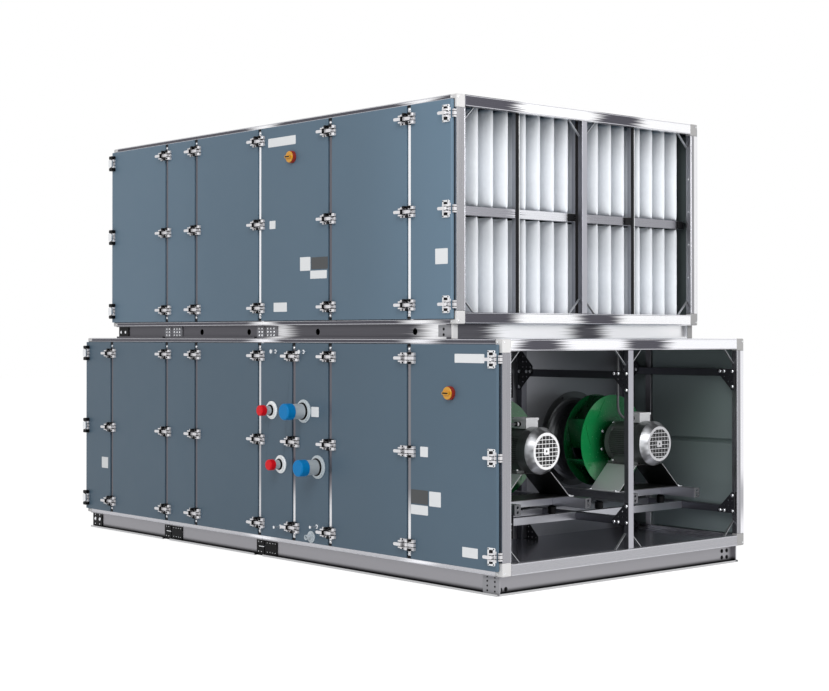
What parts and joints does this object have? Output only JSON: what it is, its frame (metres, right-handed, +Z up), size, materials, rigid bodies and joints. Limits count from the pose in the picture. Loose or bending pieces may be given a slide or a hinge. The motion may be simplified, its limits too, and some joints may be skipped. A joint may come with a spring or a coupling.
{
  "type": "air handling unit",
  "caption": "Two-tier air handling unit: framed panelled casing on base frames, bag filter bank above, twin plug fans in an open bay below, capped coil pipes.",
  "frame": {"origin": "on the floor, below the middle of the overall box", "axes": "+X along the unit towards its open ends, -Y to the service side, +Z up"},
  "size_m": [4.424, 2.31, 2.774],
  "materials": {
    "galvanised": "galvanised sheet steel",
    "frame_profile": "bright drawn profile",
    "panel_paint": "blue-grey coated steel sheet",
    "corner_plastic": "pale grey moulded corner",
    "black_bracket": "black coated plate",
    "clamp_metal": "die-cast clamp",
    "mount_rubber": "black rubber",
    "motor_grey": "grey machine paint",
    "impeller_green": "green coated impeller",
    "cable_grey": "grey cable sheath",
    "filter_header": "filter header frame",
    "filter_cloth": "white filter fleece",
    "pipe_steel": "dark steel pipe",
    "cap_red": "red push-on cap",
    "cap_blue": "blue push-on cap",
    "collar_plastic": "grey moulded collar",
    "switch_red": "red switch housing",
    "switch_yellow": "yellow switch front"
  },
  "bodies": {
    "casing": {"lower_base_beams": "galvanised", "lower_base_crossbars": "galvanised", "middle_base_beams": "galvanised", "middle_base_crossbars": "galvanised", "base_brackets": "black_bracket", "lower_frame": "frame_profile", "upper_frame": "frame_profile", "corner_pieces": "corner_plastic", "lower_posts": "frame_profile", "upper_posts": "frame_profile", "bay_posts": "frame_profile", "corner_braces": "galvanised", "floor_panels": "galvanised", "roof_panels": "panel_paint", "rear_panels": "panel_paint", "end_panels": "panel_paint", "lower_service_panels": "panel_paint", "upper_service_panels": "panel_paint", "lower_clamps": "clamp_metal", "upper_clamps": "clamp_metal", "fan_door_brackets": "clamp_metal", "fan_wall": "galvanised", "fan_wall_posts": "galvanised", "inlet_cones": "galvanised", "fan_bay_bars": "galvanised", "gusset_plates": "galvanised", "support_bars": "galvanised", "vibration_mounts": "mount_rubber", "fan_frame_channels": "galvanised", "fan_frame_crossbars": "galvanised", "motor_pedestals": "galvanised", "fan_motors": "motor_grey", "motor_terminal_boxes": "motor_grey", "motor_cable_1": "cable_grey", "motor_cable_2": "cable_grey", "filter_rail": "frame_profile", "filter_dividers": "frame_profile", "filter_headers": "filter_header", "filter_pockets": "filter_cloth", "heating_pipes": "pipe_steel", "heating_caps": "cap_red", "cooling_pipes": "pipe_steel", "cooling_caps": "cap_blue", "pipe_collars": "collar_plastic", "drain_trap": "collar_plastic", "air_vents": "pipe_steel", "upper_switch_base": "switch_red"},
    "fan_door": {"fan_door": "panel_paint", "fan_door_fittings": "clamp_metal", "lower_switch_base": "switch_red"},
    "lower_switch": {"lower_switch_knob": "switch_yellow"},
    "upper_switch": {"upper_switch_knob": "switch_yellow"},
    "fan_1": {"fan_1_impeller": "impeller_green"},
    "fan_2": {"fan_2_impeller": "impeller_green"}
  },
  "joints": [
    {"name": "fan_door_swing", "type": "hinge", "parent": "casing", "child": "fan_door", "pos_m": [1.464, -1.012, 0.755], "axis": [0, 0, -1], "range_deg": [0, 105]},
    {"name": "lower_switch_turn", "type": "hinge", "parent": "fan_door", "child": "lower_switch", "pos_m": [1.822, -1.017, 1.098], "axis": [0, -1, 0], "range_deg": [0, 90]},
    {"name": "upper_switch_turn", "type": "hinge", "parent": "casing", "child": "upper_switch", "pos_m": [0.353, -1.017, 2.537], "axis": [0, -1, 0], "range_deg": [0, 90]},
    {"name": "fan_1_spin", "type": "hinge", "parent": "casing", "child": "fan_1", "pos_m": [1.618, -0.414, 0.756], "axis": [1, 0, 0], "continuous": true},
    {"name": "fan_2_spin", "type": "hinge", "parent": "casing", "child": "fan_2", "pos_m": [1.618, 0.574, 0.756], "axis": [1, 0, 0], "continuous": true}
  ]
}
